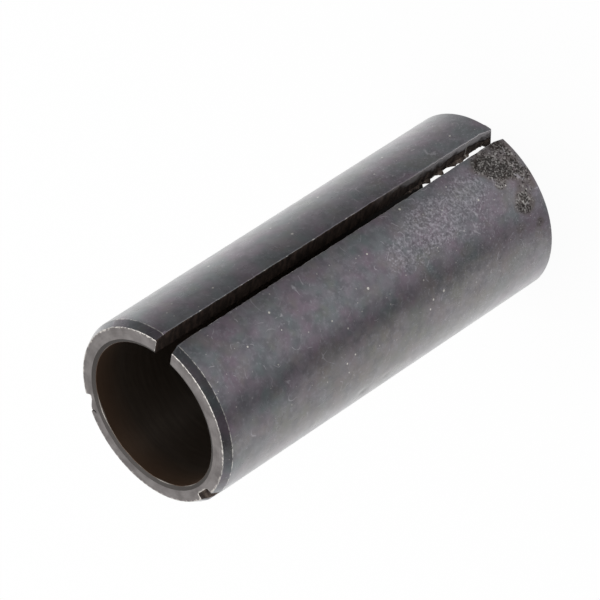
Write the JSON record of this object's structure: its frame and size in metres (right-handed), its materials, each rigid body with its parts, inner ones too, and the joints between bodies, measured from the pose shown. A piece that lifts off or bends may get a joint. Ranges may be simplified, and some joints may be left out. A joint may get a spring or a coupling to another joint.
{
  "type": "collet adapter",
  "caption": "Split steel reducing sleeve that lets a collet grip a thinner shank: straight bore, full-length slot, narrow relief flutes outside and a lead chamfer.",
  "frame": {"origin": "centre of the foot, the plain end that the sleeve stands on", "axes": "+Z along the bore, up to the chamfered end that goes into the collet first; the slot faces -Y and the flutes lie 120 degrees to either side of it"},
  "size_m": [0.0126, 0.0126, 0.0302],
  "materials": {
    "black_oxide_steel": "turned steel with a worn black oxide finish, rubbed bright along its edges and pitted with rust beside the slot at the foot"
  },
  "bodies": {
    "root": {"split_sleeve": "black_oxide_steel"}
  },
  "joints": []
}
